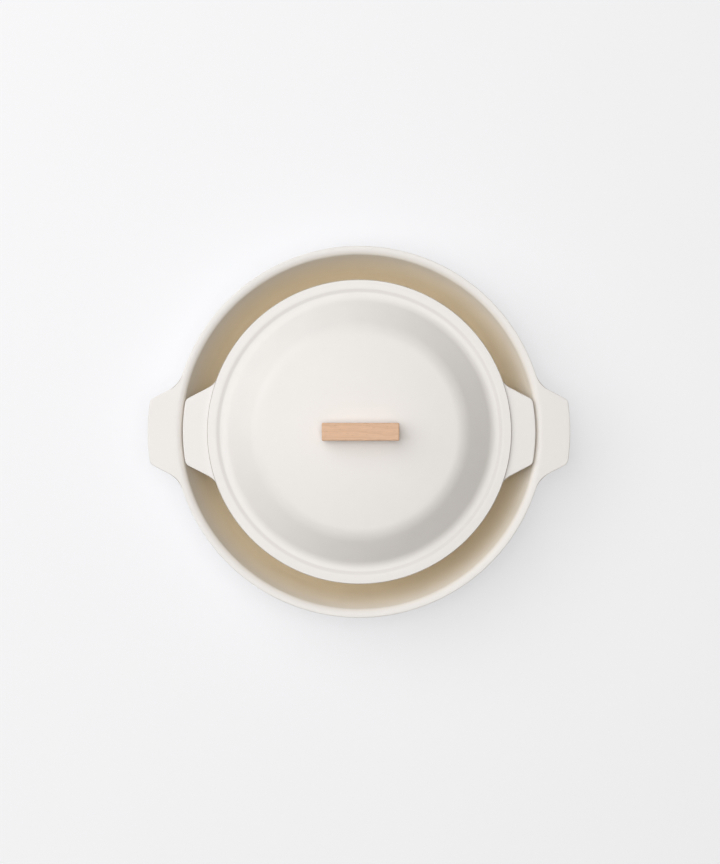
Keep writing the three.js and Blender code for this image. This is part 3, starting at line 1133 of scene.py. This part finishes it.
def soften(piece, width, segments):
    bevel = piece.modifiers.new("soft edges", "BEVEL")
    bevel.width = width
    bevel.segments = segments
    bevel.limit_method = "ANGLE"
    bevel.angle_limit = math.radians(CREASE_ANGLE)
    settle(piece)


def flatten_light(piece):
    shade(piece, CREASE_ANGLE)
    piece.modifiers.new("flat light", "WEIGHTED_NORMAL").keep_sharp = True
    settle(piece)


def block(name, low, high):
    work = bmesh.new()
    bmesh.ops.create_cube(work, size=1)
    bmesh.ops.scale(work, vec=high - low, verts=work.verts)
    bmesh.ops.translate(work, vec=(low + high) / 2, verts=work.verts)
    return scene_object(name, work)


def round_ended_plate(name, low, high):
    radius = (high.y - low.y) / 2
    straight = (high.x - low.x) / 2 - radius
    outline = []
    for side in (1, -1):
        for step in range(END_POINTS + 1):
            turn = math.pi * (step / END_POINTS - side / 2)
            outline.append(Vector((side * straight, 0)) + heading(turn) * radius)
    work = bmesh.new()
    face = work.faces.new([work.verts.new((*at, low.z)) for at in outline])
    raised_part = bmesh.ops.extrude_face_region(work, geom=[face])["geom"]
    top = [item for item in raised_part if isinstance(item, bmesh.types.BMVert)]
    bmesh.ops.translate(work, vec=(0, 0, high.z - low.z), verts=top)
    bmesh.ops.recalc_face_normals(work, faces=work.faces)
    return scene_object(name, work)


def finish_with(piece, material):
    piece.data.materials.clear()
    piece.data.materials.append(material)
    tell(piece)


bar = block("wooden_bar", bar_low, bar_high)
soften(bar, BAR_CORNER, segments=5)
cut(bar, drill_pair(POCKET_RADIUS, bar_low.z - OVERRUN, POCKET_TOP))
flatten_light(bar)
finish_with(bar, WOOD)

plate_low, plate_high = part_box("knob_base")
plate = round_ended_plate("bar_base_plate", plate_low, plate_high)
soften(plate, PLATE_EDGE, segments=3)
cut(plate, drill_pair(SCREW_HOLE, plate_low.z - OVERRUN, plate_high.z + OVERRUN))
flatten_light(plate)
finish_with(plate, STEEL)

cut(lid, drill_pair(SCREW_HOLE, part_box("knob_seal_right")[1].z, plate_low.z))
tell(lid)

# %% [markdown]
# Who moves with what
#
# Each piece rides on one of the bodies that move: the wide pot, the smaller pot or the lid. It also
# says which solids it stands for, so that those are hidden.


# %% Riding on the bodies
def hand_over(piece, body, slot, *nodes):
    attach(piece, body)
    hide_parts(*nodes)
    print(piece.name, "rides on", body)


def both(node):
    return node + "_left", node + "_right"


hand_over(wide_pot, "wide_pot", "coating", "outer_pot")
hand_over(small_pot, "small_pot", "coating", "inner_pot")
hand_over(lid, "lid", "coating", "lid_shell")
hand_over(bar, "lid", "wood", "knob_bar")
hand_over(plate, "lid", "steel", "knob_base")
hand_over(screws, "lid", "steel", *both("knob_screw"))
hand_over(washers, "lid", "steel", *both("knob_washer"))
hand_over(seals, "lid", "silicone", *both("knob_seal"))
hand_over(inserts, "lid", "brass", *both("knob_insert"))

# %% [markdown]
# Floor and surroundings
#
# The pots stand on a pale table that runs on into a pale wall with no line between them. A curved
# sheet of paper does this in a studio. Here the floor is flat and blends, far from the object, into
# the same plain tone as the world behind it, but only for what the camera and mirrors see, so that
# no extra light falls on the object.

# %% Floor and world
BACKDROP = (0.93, 0.93, 0.944, 1)
FLOOR_COLOUR = (0.925, 0.94, 0.985, 1)
FLOOR_SKIN = {"Cloud Scale": 6.0, "Skin Scale": 700.0, "Contrast": 0.006}
FLOOR_ROUGHNESS = 0.8
FLOOR_REACH = 6.0
FLOOR_SIDES = 96
FADE_START = 0.5
FADE_END = 1.3
FLOOR_GLOW = 0.5  # share of the backdrop's tone in the table beside the object
AMBIENT = 0.19
AMBIENT_COLOUR = (1.0, 0.89, 0.70, 1)


def seen_directly(tree):
    path = add_node(tree, "ShaderNodeLightPath").outputs
    either = maths(tree, "MAXIMUM", path["Is Camera Ray"], path["Is Glossy Ray"])
    return maths(tree, "MAXIMUM", either, path["Is Transmission Ray"])


def make_floor_finish():
    material, tree, shader, place = new_finish("pale table")
    skin = effect(tree, CLOUDED_SKIN, place, FLOOR_SKIN)
    feed(tree, shader, Base_Color=tinted(tree, FLOOR_COLOUR, skin["Shade"]))
    shader.inputs["Roughness"].default_value = FLOOR_ROUGHNESS
    distance = add_node(tree, "ShaderNodeVectorMath", {0: place}, operation="LENGTH").outputs["Value"]
    far = remapped(tree, distance, FADE_START, FADE_END, FLOOR_GLOW, 1.0)
    paper = add_node(tree, "ShaderNodeEmission", {"Color": BACKDROP, "Strength": 1.0}).outputs[0]
    share = maths(tree, "MULTIPLY", far, seen_directly(tree))
    blended = add_node(tree, "ShaderNodeMixShader", {0: share, 1: shader.outputs[0], 2: paper})
    tree.links.new(blended.outputs[0], tree.nodes["Material Output"].inputs["Surface"])
    return material


def make_floor():
    work = bmesh.new()
    bmesh.ops.create_circle(work, cap_ends=True, radius=FLOOR_REACH, segments=FLOOR_SIDES)
    floor = scene_object("table", work)
    floor.data.materials.append(make_floor_finish())


def make_world():
    world = bpy.data.worlds.new("pale room")
    world.use_nodes = True
    tree = world.node_tree
    light = tree.nodes["Background"]
    light.inputs["Color"].default_value = AMBIENT_COLOUR
    light.inputs["Strength"].default_value = AMBIENT
    view = add_node(tree, "ShaderNodeBackground", {"Color": BACKDROP, "Strength": 1.0}).outputs[0]
    share = seen_directly(tree)
    blended = add_node(tree, "ShaderNodeMixShader", {0: share, 1: light.outputs[0], 2: view})
    tree.links.new(blended.outputs[0], tree.nodes["World Output"].inputs["Surface"])
    bpy.context.scene.world = world


make_floor()
make_world()
print("Floor and world ready")

# %% [markdown]
# Light and camera
#
# The picture is lit by one large, soft light from the upper left and a panel straight above, with an
# even, slightly warm glow from all round. The panel reaches into the pots, where the large light
# leaves one side in shadow. The camera looks down from about a degree left of straight above, as a
# shop's does for its catalogue, and from far enough away that the walls of the pots hardly lean.

# %% Light and camera
KEY_AZIMUTH = math.radians(150)
KEY_ELEVATION = math.radians(51)
KEY_DISTANCE = 2.1
KEY_SIZE = 2.7
KEY_LEVEL = 0.6  # what it adds to a white surface that faces up
TOP_DISTANCE = 2.6
TOP_SIZE = 1.6
TOP_LEVEL = 0.345
CAMERA_AIM = Vector((0.0004, -0.00015, wide_high.z))
CAMERA_HEIGHT = 1.4957  # above the wide rim
CAMERA_ASIDE = 0.032  # to the left of where it aims
LENS = 85


def soft_light(name, azimuth, elevation, distance, size, level):
    away = Vector((*heading(azimuth) * math.cos(elevation), math.sin(elevation)))
    light = bpy.data.lights.new(name, "AREA")
    light.shape = "DISK"
    light.size = size
    light.energy = level * math.pi ** 2 * distance ** 2 / math.sin(elevation)
    lamp = add_object(name, light)
    lamp.location = Vector((0, 0, wide_high.z)) + away * distance
    lamp.rotation_euler = away.to_track_quat("Z", "Y").to_euler()


def look_down():
    lens = bpy.data.cameras.new("overhead camera")
    lens.lens = LENS
    camera = add_object("overhead camera", lens)
    camera.location = CAMERA_AIM + Vector((-CAMERA_ASIDE, 0, CAMERA_HEIGHT))
    camera.rotation_euler.y = -math.atan(CAMERA_ASIDE / CAMERA_HEIGHT)
    bpy.context.scene.camera = camera


soft_light("large window", KEY_AZIMUTH, KEY_ELEVATION, KEY_DISTANCE, KEY_SIZE, KEY_LEVEL)
soft_light("overhead panel", 0, math.pi / 2, TOP_DISTANCE, TOP_SIZE, TOP_LEVEL)
look_down()
bpy.context.scene.view_settings.view_transform = "Standard"
print("Lights and camera ready")
